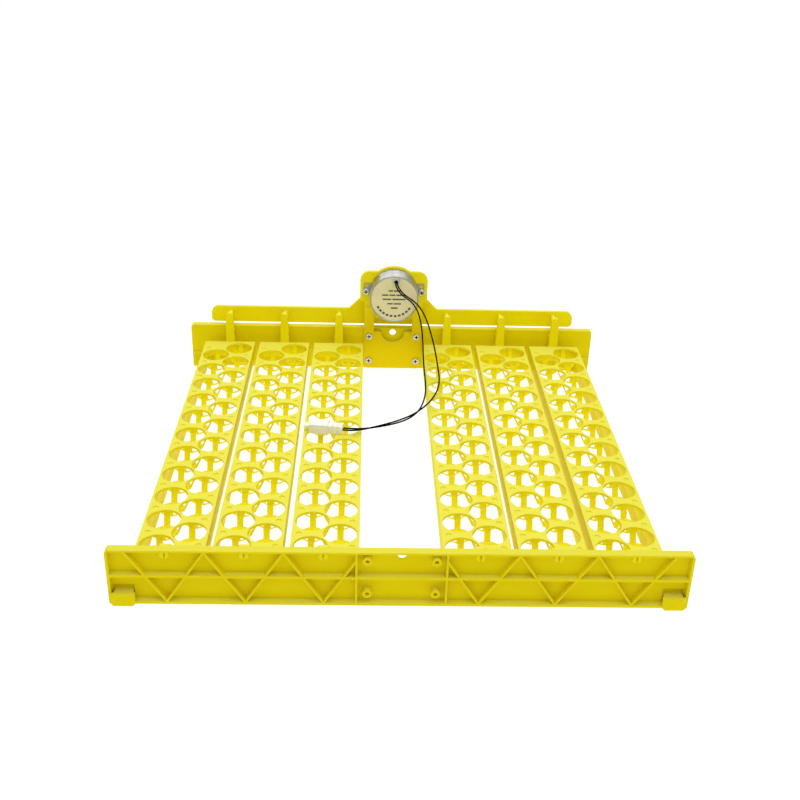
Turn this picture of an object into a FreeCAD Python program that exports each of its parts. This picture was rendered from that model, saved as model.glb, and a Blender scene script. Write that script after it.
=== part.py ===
"""Automatic egg-turning tray: six tilting cup rows hung between two end plates.

Frame of the model (mm): X runs across the rows, Y along the rows towards the motor, Z up.
The origin is the centre of the footprint, on the surface that the tray stands on.
Sub-parts are drawn with the front plate's inner face at Y = 0 and the rear plate's inner
face at Y = span; each sub-part's Placement then moves it to the model's origin.
"""
import FreeCAD, Part
import math
import os
import re
import Sketcher

SIZES = {
    # end plates (front and rear are one moulding)
    "span": (403, "between the inner faces of the end plates"),
    "plate_width": (426, "width of an end plate"),
    "plate_height": (46.8, "height of an end plate"),
    "plate_depth": (7, "depth of an end plate over its ribs"),
    "panel": (2, "thickness of the end plate's panel and side walls"),
    "rim_top": (1.5, "thickness of the top flange"),
    "rim_foot": (2.2, "thickness of the bottom flange"),
    "rib": (1.6, "thickness of the diagonal and upright ribs"),
    "centre_half": (33, "from the middle to the upright ribs beside it"),
    "corner": (3, "radius of the end plate's top corners"),
    "ledge": (0.6, "how far the inner ledge stands off the panel"),
    "notch_half": (7.5, "half the width of the notch for a rail"),
    "notch_top": (14, "top of the notch for a rail"),
    "recess": (0.4, "depth of the two recesses in the middle of the panel"),
    # pivots and bosses
    "pitch": (57, "from one row to the next"),
    "pivot_height": (41.75, "height of the rows' axes"),
    "pivot": (3.5, "radius of a pivot hole"),
    "play": (0.05, "radial play of a turning pin"),
    "fit": (0.15, "gap between pieces that are put together"),
    "boss_side": (25.1, "from the middle to a screw boss"),
    "boss_low": (10.5, "height of the lower bosses"),
    "boss_high": (39.1, "height of the upper bosses"),
    "boss": (3.5, "radius of a screw boss"),
    # side rails
    "rail_side": (202.4, "from the middle to a rail's own middle"),
    "rail_end": (5, "half the width of a rail's end"),
    "rail_web": (2, "thickness of a rail's web and flange"),
    "rail_height": (12, "height of a rail's web"),
    "neck_half": (7, "half the width of a rail's neck"),
    "neck_height": (9.5, "height of a rail's neck"),
    "hook_half": (8.8, "half the width of the hook head at a rail's end"),
    "hook_height": (10, "height of the hook head"),
    "hook_depth": (2.9, "thickness of the hook head"),
    "hook_gap": (0.1, "from the end plate to the hook head"),
    "shoulder": (3, "thickness of the shoulder inside the plate"),
    # egg rows
    "row_half": (25.9, "half the width of a row"),
    "row_top": (32.5, "height of a row's top face"),
    "row_front": (4.15, "from the front panel to the row's front wall"),
    "row_back": (9.9, "from the row's back wall to the rear panel"),
    "deck": (2, "thickness of a row's top and end walls"),
    "skirt": (1.3, "thickness of a row's side walls"),
    "draft": (0.3, "how far a side wall leans in at its foot"),
    "skirt_depth": (15.6, "depth of a row's walls, from its top face"),
    "cup": (13.15, "radius of a cup's opening"),
    "cup_side": (11, "from a row's middle to the cups' middles"),
    "cup_pitch": (33.756, "from a cup to the next in its column"),
    "cup_first": (27.05, "from the rear panel to the last cup's middle"),
    "cup_count": (11, "cups in a column"),
    "wall": (1.3, "thickness of the cups' ribs and rings"),
    "strip": (4.8, "width of a cup's rib"),
    "bend": (5, "depth of the bend in a cup's rib below the top face"),
    "ring_top": (12.4, "depth of a ring's upper edge below the top face"),
    "ring_foot": (15.2, "depth of a ring's lower edge below the top face"),
    "ring_wide": (10, "outer radius of a ring's upper edge"),
    "ring_lap": (0.8, "overlap of a rib and its ring"),
    "ring_narrow": (7, "outer radius of a ring's lower edge"),
    "dimple": (2.2, "radius of a dimple in the deck"),
    "dimple_depth": (0.7, "depth of a dimple"),
    "dimple_side": (20.2, "from a row's middle to the dimples"),
    # a row's front lug, rear lever and pins
    "lug_foot": (24, "height of the lugs' lower edges"),
    "lug_half": (6.5, "half the width of the front lug's foot"),
    "lug_crown": (45.3, "height of the front lug's top"),
    "lug_front": (0.8, "from the front panel to the front lug"),
    "lever_half": (4.75, "half the width of the lever's foot"),
    "lever_tip": (3.65, "radius of the lever's rounded top"),
    "lever_top": (64.4, "height of the lever's top"),
    "lever_gap": (3.9, "from the lever to the rear panel"),
    "collar": (4.5, "radius of the collar round a pivot pin"),
    "collar_gap": (0.5, "from the collar to the rear panel"),
    "tip_gap": (0.15, "from the panel to the pin's snap tip"),
    "tip": (2.6, "from the panel to the end of the pin"),
    "tip_nib": (4, "from the pin's axis to the edge of its nibs"),
    "tip_slot": (1.2, "width of the slot in the tip"),
    "arm": (17.25, "from a row's axis to its upper pin"),
    "upper_pin": (2.5, "radius of a lever's upper pin"),
    "barb": (3.1, "radius of the barb on the upper pin"),
    "barb_depth": (1.7, "length of the barb"),
    # push bar
    "bar_gap": (8.3, "from the rear panel's inner face to the bar"),
    "bar_depth": (4, "thickness of the push bar"),
    "bar_half": (192, "half the length of the push bar"),
    "bar_foot": (48, "height of the bar's lower edge"),
    "bar_top": (65, "height of the bar's upper edge"),
    "bar_round": (8, "radius of the bar's upper corners"),
    "bar_round_foot": (4, "radius of the bar's lower corners"),
    "crown": (20, "radius of the bar's raised middle"),
    "track": (5, "half the width of the crank's slot"),
    "track_foot": (74, "height of the slot's lower end"),
    "track_top": (105.5, "height of the slot's upper end"),
    # motor, bracket and crank
    "motor_height": (89.6, "height of the motor's axis"),
    "can": (25, "radius of the motor's can"),
    "can_front": (26, "from the rear panel to the can's front edge"),
    "can_wall": (0.6, "thickness of the can"),
    "base_gap": (4, "from the rear panel to the motor's base"),
    "base": (1, "thickness of the motor's base"),
    "tab_reach": (31.5, "from the middle to the end of a tab"),
    "tab_hole": (29, "from the middle to a tab's holes"),
    "tab_spare": (2, "radius of a tab's empty hole"),
    "tab_rise": (5.9, "from a tab's screw hole to its empty hole"),
    "shaft": (3.5, "radius of the motor's output shaft"),
    "axle": (1, "radius of the motor's two fixed axles"),
    "idler_side": (15, "from the motor's axis to the idler gear's axis"),
    "idler_wheel": (9, "radius of the idler gear's wheel"),
    "idler_pinion": (3.6, "radius of the idler gear's pinion"),
    "output_wheel": (11.2, "radius of the wheel on the output shaft"),
    "crank_throw": (12.2, "from the motor's axis to the crank pin"),
    "crank_pin": (2.7, "radius of the crank pin"),
    "crank_hub": (7, "radius of the crank's hub"),
    "crank_gap": (0.5, "from the rear panel's plane to the crank"),
    "crank": (5.5, "thickness of the crank"),
    "bracket_half": (30.5, "half the width of the bracket's plate"),
    "bracket_foot": (1.6, "height of the bracket's lower edge"),
    "bracket_round": (5, "radius of the bracket's lower corners"),
    "leg_rise": (1.2, "how far the bracket's legs stand proud"),
    "leg_foot": (34, "height of the lower end of the legs"),
    "leg_top": (72, "height of the upper end of the legs"),
    "window_half": (20, "half the width of the bracket's window"),
    "window_foot": (44, "height of the window's lower edge"),
    "window_top": (60, "height of the window's upper edge"),
    "dip": (12, "radius of the dip in the window's lower edge"),
    "ear_half": (35, "half the width across the bracket's ears"),
    "ear_foot": (78, "height of the ears' lower edge"),
    "ear_top": (111, "height of the ears' upper edge"),
    "ear_round": (10, "radius of the ears' corners"),
    "halo": (27, "radius of the bracket's arc round the motor"),
    # screws
    "head": (3.5, "radius of a screw's head"),
    "head_height": (1.9, "height of a screw's head"),
    "head_round": (1, "rounding of a screw's head"),
    "cross_wide": (0.6, "half the width of a screw's cross recess"),
    "cross_long": (2.1, "half the length of a screw's cross recess"),
    "cross_deep": (1.3, "depth of a screw's cross recess"),
    "thread": (1.45, "radius of a screw's shank"),
    "screw_hole": (1.5, "radius of a screw's hole"),
    "screw_grip": (9, "length of a screw past the bracket's face"),
    # wires and connector
    "wire": (0.75, "radius of a wire"),
    "wire_side": (1.5, "from the middle to the wires' outlet"),
    "outlet": (109, "height of the wires' outlet"),
    "grommet_half": (3.25, "half the width of the grommet"),
    "grommet_tall": (2.25, "half the height of the grommet"),
    "grommet_reach": (1.6, "how far the grommet stands off the motor's face"),
    "sleeve": (2, "radius of the wires' sleeve"),
    "sleeve_reach": (1.75, "how far the sleeve stands off the grommet"),
    "plug_across": (-63.5, "from the middle to the connector's own centre"),
    "plug_along": (199, "from the front panel to the connector's own centre"),
    "plug_turn": (-8, "angle of the connector on its row"),
    "plug_right": (16, "from its centre to where the wires enter"),
    "plug_step": (3, "from its centre to where it widens"),
    "plug_left": (13.9, "from its centre to its open end"),
    "latch_end": (19.8, "from its centre to the end of its latch"),
    "latch_foot": (4.9, "height of the latch's underside"),
    "plug_half": (4.2, "half the width of the connector's narrow end"),
    "plug_wide": (6.2, "half the width of the connector's wide end"),
    "plug_tall": (9, "height of the connector's wide end"),
    "plug_slim": (8, "height of the connector's narrow end"),
    "plug_wall": (1.2, "thickness of the connector's walls"),
    "contact": (0.8, "half the width of a contact"),
    "contact_side": (1.8, "from the connector's axis to a contact"),
}
ROWS = (-3, -2, -1, 1, 2, 3)
LIMP = 3
# Routes of the two wires from the sleeve to the connector, in the model's frame.
WIRE_ROUTES = {
    "wire_1": ((0.65, 169.75, 109), (0.9, 162.3, 107.7), (5.2, 161.2, 101.4), (11, 163.5, 95.5),
               (17.3, 166.3, 90.3), (23.6, 167.6, 81), (27.3, 166, 70), (29.2, 161.5, 59.5),
               (30, 153, 49.5), (30.1, 141, 42.3), (30.1, 126, 38.4), (30.2, 107, 37),
               (30.3, 87, 37), (29.4, 66, 37), (26.2, 45.5, 37), (20.6, 26.5, 37),
               (10, 11, 37), (-5, 1.4, 37), (-19.5, -3.8, 36.8), (-30.5, -6.1, 36.6),
               (-39.5, -6.21, 36.5), (-47.405, -5.095, 36.5)),
    "wire_2": ((2.35, 169.75, 109), (2.7, 161.6, 108.4), (7.6, 160.4, 101.9), (12.6, 162.6, 96.9),
               (19, 165.3, 91.8), (26.2, 167.5, 84), (32, 167, 74), (36.4, 163, 63.5),
               (39.8, 154.5, 54), (41.8, 143.5, 47.6), (43.2, 129.5, 42.6), (43.9, 112, 39.8),
               (44, 92, 39.3), (41.6, 70.5, 39.3), (35.5, 50.5, 39.3), (27.2, 33.5, 39.3),
               (16, 17.5, 39.3), (3, 6, 39.3), (-10, -1.6, 39), (-22.5, -7.2, 38.4),
               (-31.5, -9.2, 37.2), (-39.99, -9.77, 36.5), (-47.906, -8.66, 36.5)),
}


# ---------------------------------------------------------------- the sheet and its formulas

def make_sheet(doc):
    """The sheet of driving dimensions: a name, a number and what it measures."""
    sheet = doc.addObject("Spreadsheet::Sheet", "sizes")
    for line, (alias, (number, meaning)) in enumerate(SIZES.items(), start=1):
        sheet.set(f"A{line}", alias)
        sheet.set(f"B{line}", str(number))
        sheet.set(f"C{line}", meaning)
        sheet.setAlias(f"B{line}", alias)
    doc.recompute()
    return sheet


def formula(text):
    """A formula written with bare aliases, as the document's expressions want it."""
    def full(match):
        word = match.group()
        return f"sizes.{word}" if word in SIZES else word
    return re.sub(r"[a-z_]+", full, str(text))


def bind(thing, **formulas):
    """Bind properties of a document object to formulas over the sheet."""
    for path, text in formulas.items():
        thing.setExpression(path.replace("__", "."), formula(text))


def shift(x="0", y="0", z="0"):
    """Formulas that place a feature's own corner or centre."""
    return {"Placement__Base__x": x, "Placement__Base__y": y, "Placement__Base__z": z}


BACK_REACH = "bar_gap + bar_depth + fit * 2 + barb_depth"
FRONT_REACH = "plate_depth + hook_gap + hook_depth"
MIDDLE = f"(span + ({BACK_REACH}) - ({FRONT_REACH})) / 2"
OUTWARD = FreeCAD.Rotation(FreeCAD.Vector(1, 0, 0), -90)


def place(node, x="0", y=f"-({MIDDLE})"):
    """Move a finished sub-part from its drawing position to the model's origin."""
    bind(node, **shift(x, y))


# ---------------------------------------------------------------- sketches and features

def origin_item(body, role):
    """The body's own origin plane or axis with this role."""
    return next(item for item in body.Origin.OriginFeatures if item.Role == role)


def make_sketch(body, name, plane="XZ_Plane", offset="0"):
    """An empty sketch on one of the body's planes, moved along the plane's normal."""
    sketch = body.newObject("Sketcher::SketchObject", name)
    sketch.AttachmentSupport = (origin_item(body, plane), [""])
    sketch.MapMode = "FlatFace"
    bind(sketch, AttachmentOffset__Base__z=offset)
    return sketch


def fix_point(sketch, item, point, across, along):
    """Hold one point of a sketch at formulas measured from the sketch's origin."""
    for kind, text in (("DistanceX", across), ("DistanceY", along)):
        number = sketch.evalExpression(formula(text))
        row = sketch.addConstraint(Sketcher.Constraint(kind, -1, 1, item, point, number))
        sketch.setExpression(f"Constraints[{row}]", formula(text))


def outline(sketch, corners):
    """A closed straight-sided loop through corners given as pairs of formulas."""
    spots = []
    for across, along in corners:
        spots.append(FreeCAD.Vector(sketch.evalExpression(formula(across)),
                                    sketch.evalExpression(formula(along)), 0))
    first = sketch.GeometryCount
    for here, spot in enumerate(spots):
        sketch.addGeometry(Part.LineSegment(spot, spots[(here + 1) % len(spots)]))
    for here in range(len(spots)):
        after = first + (here + 1) % len(spots)
        sketch.addConstraint(Sketcher.Constraint("Coincident", first + here, 2, after, 1))
    for here, (across, along) in enumerate(corners):
        fix_point(sketch, first + here, 1, across, along)


def rectangle(sketch, left, right, foot, top):
    """A rectangle between four formulas."""
    outline(sketch, [(left, foot), (right, foot), (right, top), (left, top)])


def disc(sketch, across, along, radius):
    """A circle whose centre and radius are formulas."""
    middle = FreeCAD.Vector(sketch.evalExpression(formula(across)),
                            sketch.evalExpression(formula(along)), 0)
    number = sketch.evalExpression(formula(radius))
    item = sketch.addGeometry(Part.Circle(middle, FreeCAD.Vector(0, 0, 1), number))
    row = sketch.addConstraint(Sketcher.Constraint("Radius", item, number))
    sketch.setExpression(f"Constraints[{row}]", formula(radius))
    fix_point(sketch, item, 3, across, along)


def slab(body, name, start, end, draw):
    """A pad between two planes square to Y; draw fills its sketch."""
    sketch = make_sketch(body, f"{name}_sketch", offset=f"-({start})")
    draw(sketch)
    pad = body.newObject("PartDesign::Pad", name)
    pad.Profile = sketch
    pad.Reversed = True
    bind(pad, Length=f"({end}) - ({start})")
    return pad


def cut(body, name, start, end, draw):
    """A pocket between two planes square to Y; it has to take something away."""
    body.Document.recompute()
    before = body.Shape.Volume
    sketch = make_sketch(body, f"{name}_sketch", offset=f"-({start})")
    draw(sketch)
    pocket = body.newObject("PartDesign::Pocket", name)
    pocket.Profile = sketch
    bind(pocket, Length=f"({end}) - ({start})")
    body.Document.recompute()
    if body.Shape.Volume >= before:
        raise RuntimeError(f"{body.Label}: {name} takes nothing away")
    return pocket


def round_edges(body, name, radius, wanted):
    """Fillet the edges of the body's tip that the test picks."""
    body.Document.recompute()
    picked = [f"Edge{number}" for number, edge in enumerate(body.Shape.Edges, start=1)
              if wanted(edge)]
    if not picked:
        raise RuntimeError(f"{body.Label}: {name} finds no edges")
    base = body.Tip
    fillet = body.newObject("PartDesign::Fillet", name)
    fillet.Base = (base, picked)
    bind(fillet, Radius=radius)
    return fillet


def along_y(edge, x=None, z=None):
    """Whether an edge is straight, runs along Y and passes through |X| = x and Z = z."""
    if len(edge.Vertexes) != 2:
        return False
    start, end = (corner.Point for corner in edge.Vertexes)
    if abs(start.x - end.x) > 1e-6 or abs(start.z - end.z) > 1e-6:
        return False
    near_x = x is None or abs(abs(start.x) - x) < 1e-3
    near_z = z is None or abs(start.z - z) < 1e-3
    return near_x and near_z


def new_body(doc, label):
    """A body whose label is the sub-part's name."""
    body = doc.addObject("PartDesign::Body", label)
    body.Label = label
    return body


def gather(doc, label, pieces):
    """One or more solids of one kind as a node of their own."""
    group = doc.addObject("Part::Compound", label)
    group.Label = label
    group.Links = pieces
    return group


# ---------------------------------------------------------------- end plates

BRACE_FOOT = "rim_foot - 0.2"
BRACE_TOP = "plate_height - rim_top + 0.2"


def brace(sketch, low, high, top=BRACE_TOP):
    """One diagonal rib, from its foot at X = low to its top at X = high."""
    half = "rib / 2 * sqrt(1 + (pitch / 2 / plate_height)^2)"
    outline(sketch, [(f"{low} - {half}", BRACE_FOOT), (f"{low} + {half}", BRACE_FOOT),
                     (f"{high} + {half}", top), (f"{high} - {half}", top)])


def end_plate(doc, label):
    """A panel with a rim, a zigzag of ribs, seven pivot holes and four screw bosses."""
    body = new_body(doc, label)
    width = "plate_width / 2"
    front = "-plate_depth"
    slab(body, "panel_pad", "-panel", "0",
         lambda sketch: rectangle(sketch, f"-{width}", width, "0", "plate_height"))
    for name, foot, top in (("low_recess", "rim_foot + 2", "plate_height / 2 - 3"),
                            ("high_recess", "plate_height / 2 + 3", "plate_height - rim_top - 2")):
        cut(body, name, "-panel", "recess - panel",
            lambda sketch, foot=foot, top=top: rectangle(
                sketch, "2 - centre_half", "centre_half - 2", foot, top))

    def rim(sketch):
        rectangle(sketch, f"-{width}", width, "0", "plate_height")
        rectangle(sketch, f"panel - {width}", f"{width} - panel", "rim_foot",
                  "plate_height - rim_top")
    slab(body, "rim_pad", front, "-panel", rim)
    slab(body, "middle_rib", front, "0.1 - panel",
         lambda sketch: rectangle(sketch, f"0.5 - {width}", f"{width} - 0.5",
                                  "plate_height / 2", "plate_height / 2 + panel"))
    for side in (-1, 1):
        name = "left" if side < 0 else "right"
        slab(body, f"{name}_upright", front, "0.1 - panel",
             lambda sketch, side=side: rectangle(
                 sketch, f"{side} * centre_half - rib / 2", f"{side} * centre_half + rib / 2",
                 BRACE_FOOT, BRACE_TOP))
        slab(body, f"{name}_inner_brace", front, "0.1 - panel",
             lambda sketch, side=side: brace(
                 sketch, f"{side} * pitch", f"{side} * centre_half",
                 "plate_height * (pitch - centre_half) / (pitch / 2)"))
        for row in (1, 2, 3):
            slab(body, f"{name}_outer_brace_{row}", front, "0.1 - panel",
                 lambda sketch, side=side, row=row: brace(
                     sketch, f"{side * row} * pitch", f"{side * row} * pitch + {side} * pitch / 2"))
        for row in (2, 3):
            slab(body, f"{name}_return_brace_{row}", front, "0.1 - panel",
                 lambda sketch, side=side, row=row: brace(
                     sketch, f"{side * row} * pitch", f"{side * row} * pitch - {side} * pitch / 2"))
        slab(body, f"{name}_ledge", "-0.1", "ledge",
             lambda sketch, side=side: rectangle(
                 sketch, f"{side} * ear_half", f"{side} * (rail_side - hook_half - 4)",
                 "plate_height / 2", "plate_height / 2 + ledge * 2"))

    def bosses(sketch):
        for side in (-1, 1):
            for height in ("boss_low", "boss_high"):
                disc(sketch, f"{side} * boss_side", height, "boss")
    slab(body, "bosses", front, "recess - panel + 0.1", bosses)

    def boss_holes(sketch):
        for side in (-1, 1):
            for height in ("boss_low", "boss_high"):
                disc(sketch, f"{side} * boss_side", height, "screw_hole")
    cut(body, "boss_holes", f"{front} - 1", "1", boss_holes)

    def pivots(sketch):
        for row in range(-3, 4):
            disc(sketch, f"{row} * pitch", "pivot_height", "pivot")
    cut(body, "pivot_holes", f"{front} + 4", "1", pivots)

    def notches(sketch):
        for side in (-1, 1):
            rectangle(sketch, f"{side} * rail_side - notch_half", f"{side} * rail_side + notch_half",
                      "-1", "notch_top")
    cut(body, "rail_notches", f"{front} - 1", "ledge", notches)
    round_edges(body, "top_corners", "corner",
                lambda edge: along_y(edge, SIZES["plate_width"][0] / 2, SIZES["plate_height"][0]))
    return body


def end_plates(doc):
    """The front plate, and the rear one, which is the same moulding turned about Z."""
    form = end_plate(doc, "end_plate_form")
    front = gather(doc, "front_end_plate", [form])
    place(front)
    rear = gather(doc, "rear_end_plate", [form])
    rear.Placement = FreeCAD.Placement(FreeCAD.Vector(), FreeCAD.Rotation(FreeCAD.Vector(0, 0, 1), 180))
    place(rear, y=f"span - ({MIDDLE})")
    return [front, rear]


# ---------------------------------------------------------------- side rails

def side_rail(doc, label, side):
    """An L-section rail with a neck and a head at each end, which hook into the plates."""
    body = new_body(doc, label)
    middle = f"{side} * rail_side"
    inner = f"{side} * (rail_side - rail_end)"
    outer = f"{side} * (rail_side + rail_end)"

    def section(sketch):
        outline(sketch, [(inner, "0"), (outer, "0"), (outer, "rail_web"),
                         (f"{inner} + {side} * rail_web", "rail_web"),
                         (f"{inner} + {side} * rail_web", "rail_height"),
                         (inner, "rail_height")])
    slab(body, "rail", "fit", "span - fit", section)
    ends = (("front", "fit", "fit + shoulder", f"-({FRONT_REACH})", "-plate_depth - hook_gap",
             f"-({FRONT_REACH})", "fit + shoulder"),
            ("rear", "span - fit - shoulder", "span - fit", "span + plate_depth + hook_gap",
             f"span + ({FRONT_REACH})", "span - fit - shoulder", f"span + ({FRONT_REACH})"))
    for name, start, end, hook_start, hook_end, neck_start, neck_end in ends:
        slab(body, f"{name}_shoulder", start, end,
             lambda sketch: rectangle(sketch, f"{middle} - hook_half - 1", f"{middle} + hook_half + 1",
                                      "0", "notch_top + 2"))
        slab(body, f"{name}_hook", hook_start, hook_end,
             lambda sketch: outline(sketch, [
                 (f"{middle} - hook_half", "2"), (f"{middle} - hook_half + 2", "0"),
                 (f"{middle} + hook_half - 2", "0"), (f"{middle} + hook_half", "2"),
                 (f"{middle} + hook_half", "hook_height"),
                 (f"{middle} - hook_half", "hook_height")]))
        slab(body, f"{name}_neck", neck_start, neck_end,
             lambda sketch: rectangle(sketch, f"{middle} - neck_half", f"{middle} + neck_half",
                                      "0", "neck_height"))
    place(body)
    return body


# ---------------------------------------------------------------- egg rows

CUP_BACK = "span - cup_first"
CUP_FRONT = "span - cup_first - cup_pitch / 2"


def strip_profile(sketch, middle, flip):
    """Half a bowl's section: a rib that bends inwards from the deck down to the ring."""
    edge = f"{middle} + {flip} * (cup + wall * 0.8)"
    waist = f"{middle} + {flip} * (cup + wall / 2)"
    ring = f"{middle} + {flip} * ring_wide"
    thick = f"{flip} * wall"
    outline(sketch, [(edge, "row_top - deck / 2"), (waist, "row_top - bend"),
                     (ring, "row_top - ring_top - ring_lap"),
                     (f"{ring} - {thick}", "row_top - ring_top - ring_lap"),
                     (f"{waist} - {thick}", "row_top - bend"),
                     (f"{edge} - {thick}", "row_top - deck / 2")])


def cup_strips(body, name, plane, offset, middle):
    """Two opposite ribs of a cup as one pad, centred on its sketch plane."""
    sketch = make_sketch(body, f"{name}_sketch", plane, offset)
    for flip in (-1, 1):
        strip_profile(sketch, middle, flip)
    pad = body.newObject("PartDesign::Pad", name)
    pad.Profile = sketch
    pad.Midplane = True
    bind(pad, Length="strip")
    return pad


def cup_features(body, name, side, distance):
    """One cup: its opening, four ribs, the ring that they carry, and a dimple."""
    across = f"{side} * cup_side"
    opening = body.newObject("PartDesign::SubtractiveCylinder", f"{name}_opening")
    bind(opening, Radius="cup", Height="deck + 2", **shift(across, distance, "row_top - deck - 1"))
    features = [opening,
                cup_strips(body, f"{name}_ribs_across", "XZ_Plane", f"-({distance})", across),
                cup_strips(body, f"{name}_ribs_along", "YZ_Plane", across, distance)]
    low = "row_top - ring_foot"
    ring = body.newObject("PartDesign::AdditiveCone", f"{name}_ring")
    bind(ring, Radius1="ring_narrow", Radius2="ring_wide", Height="ring_foot - ring_top",
         **shift(across, distance, low))
    bore = body.newObject("PartDesign::SubtractiveCone", f"{name}_bore")
    bind(bore, Radius1="ring_narrow - wall", Radius2="ring_wide - wall",
         Height="ring_foot - ring_top", **shift(across, distance, low))
    dimple = body.newObject("PartDesign::SubtractiveCylinder", f"{name}_dimple")
    bind(dimple, Radius="dimple", Height="deck",
         **shift(f"-{side} * dimple_side", distance, "row_top - dimple_depth"))
    return features + [ring, bore, dimple]


def snap_tip(body, name, near, far, height):
    """The slotted end of a pivot pin, with a nib on each side, between two planes."""
    slab(body, f"{name}_round", near, far, lambda sketch: disc(sketch, "0", height, "pivot - play * 2"))
    slab(body, f"{name}_nibs", f"({near}) * 0.6 + ({far}) * 0.4", far,
         lambda sketch: rectangle(sketch, "-tip_nib", "tip_nib", f"{height} - 0.6", f"{height} + 0.6"))


def egg_row(doc, label):
    """A row of 22 cups in two staggered columns, with its lug, lever and pins."""
    body = new_body(doc, label)
    foot = "row_top - skirt_depth"
    front = "row_front"
    back = "span - row_back"
    height = "pivot_height"

    def channel(sketch):
        outline(sketch, [("draft - row_half", foot), ("draft + skirt - row_half", foot),
                         ("skirt - row_half", "row_top - deck"),
                         ("row_half - skirt", "row_top - deck"),
                         ("row_half - skirt - draft", foot), ("row_half - draft", foot),
                         ("row_half", "row_top"), ("-row_half", "row_top")])
    slab(body, "channel", front, back, channel)
    for name, start, end in (("front_wall", front, f"{front} + deck"),
                             ("back_wall", f"{back} - deck", back)):
        slab(body, name, start, end,
             lambda sketch: outline(sketch, [("draft - row_half", foot), ("row_half - draft", foot),
                                             ("row_half", "row_top"), ("-row_half", "row_top")]))

    def lug(sketch):
        outline(sketch, [("-lug_half", "lug_foot"), ("lug_half", "lug_foot"),
                         ("lug_half - 1", "lug_crown - 2"), ("lug_half - 3", "lug_crown"),
                         ("3 - lug_half", "lug_crown"), ("1 - lug_half", "lug_crown - 2")])
    slab(body, "front_lug", "lug_front", f"{front} + 0.5", lug)
    slab(body, "front_pin", "-panel - tip_gap", "lug_front + 0.1",
         lambda sketch: disc(sketch, "0", height, "pivot - play"))
    snap_tip(body, "front_tip", "-panel - tip", "0.1 - panel - tip_gap", height)
    cut(body, "front_slot", "-panel - tip - 1", "-panel - tip_gap",
        lambda sketch: rectangle(sketch, "-tip_slot / 2", "tip_slot / 2",
                                 f"{height} - pivot", f"{height} + pivot"))

    def lever(sketch):
        crown = "lever_top - lever_tip"
        outline(sketch, [("-lever_half", "lug_foot"), ("lever_half", "lug_foot"),
                         ("lever_tip", crown), ("-lever_tip", crown)])
    slab(body, "lever", f"{back} - 0.5", "span - lever_gap", lever)
    slab(body, "lever_crown", back, "span - lever_gap",
         lambda sketch: disc(sketch, "0", "lever_top - lever_tip", "lever_tip"))
    slab(body, "collar_pad", "span - lever_gap - 0.5", "span - collar_gap",
         lambda sketch: disc(sketch, "0", height, "collar"))
    slab(body, "rear_pin", "span - collar_gap - 0.5", "span + panel + tip_gap",
         lambda sketch: disc(sketch, "0", height, "pivot - play"))
    snap_tip(body, "rear_tip", "span + panel + tip_gap - 0.1", "span + panel + tip", height)
    cut(body, "rear_slot", "span + panel + tip_gap", "span + panel + tip + 1",
        lambda sketch: rectangle(sketch, "-tip_slot / 2", "tip_slot / 2",
                                 f"{height} - pivot", f"{height} + pivot"))
    pin_end = "span + bar_gap + bar_depth + fit * 2"
    slab(body, "upper_pin_pad", "span - lever_gap - 0.5", pin_end,
         lambda sketch: disc(sketch, "0", f"{height} + arm", "upper_pin"))
    slab(body, "barb_pad", pin_end, f"{pin_end} + barb_depth",
         lambda sketch: disc(sketch, "0", f"{height} + arm", "barb"))

    features = cup_features(body, "right", 1, f"{CUP_BACK} - 10 * cup_pitch")
    features += cup_features(body, "left", -1, f"{CUP_FRONT} - 10 * cup_pitch")
    pattern = body.newObject("PartDesign::LinearPattern", "cup_pattern")
    pattern.Originals = features
    pattern.Direction = (origin_item(body, "Y_Axis"), [""])
    pattern.Occurrences = int(SIZES["cup_count"][0])
    bind(pattern, Length="(cup_count - 1) * cup_pitch")
    body.Tip = pattern
    return body


def egg_rows(doc):
    """The six rows, all from one moulding, each on its own pivots."""
    form = egg_row(doc, "egg_row_form")
    rows = []
    for number, slot in enumerate(ROWS, start=1):
        row = gather(doc, f"egg_row_{number}", [form])
        place(row, x=f"{slot} * pitch")
        rows.append(row)
    return rows


# ---------------------------------------------------------------- push bar

def push_bar(doc):
    """The bar that joins the six levers, with a raised middle slotted for the crank."""
    body = new_body(doc, "push_bar")
    front = "span + bar_gap"
    back = f"{front} + bar_depth"
    rise = "motor_height + 1.9 - bar_top"

    def silhouette(sketch):
        outline(sketch, [("-bar_half", "bar_foot"), ("bar_half", "bar_foot"), ("bar_half", "bar_top"),
                         (f"crown + {rise}", "bar_top"), ("crown - 0.1", "motor_height + 2"),
                         ("0.1 - crown", "motor_height + 2"), (f"-crown - ({rise})", "bar_top"),
                         ("-bar_half", "bar_top")])
    slab(body, "bar_pad", front, back, silhouette)
    slab(body, "crown_pad", front, back, lambda sketch: disc(sketch, "0", "motor_height", "crown"))

    def lever_holes(sketch):
        for row in ROWS:
            disc(sketch, f"{row} * pitch", "pivot_height + arm", "upper_pin + play")
    cut(body, "lever_holes", f"{front} - 1", f"{back} + 1", lever_holes)
    cut(body, "track_cut", f"{front} - 1", f"{back} + 1",
        lambda sketch: rectangle(sketch, "-track", "track", "track_foot + track", "track_top - track"))
    for name, height in (("foot", "track_foot + track"), ("top", "track_top - track")):
        cut(body, f"track_{name}_cut", f"{front} - 1", f"{back} + 1",
            lambda sketch, height=height: disc(sketch, "0", height, "track"))
    half = SIZES["bar_half"][0]
    round_edges(body, "upper_corners", "bar_round",
                lambda edge: along_y(edge, half, SIZES["bar_top"][0]))
    round_edges(body, "lower_corners", "bar_round_foot",
                lambda edge: along_y(edge, half, SIZES["bar_foot"][0]))
    place(body)
    return body


# ---------------------------------------------------------------- motor bracket

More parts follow.
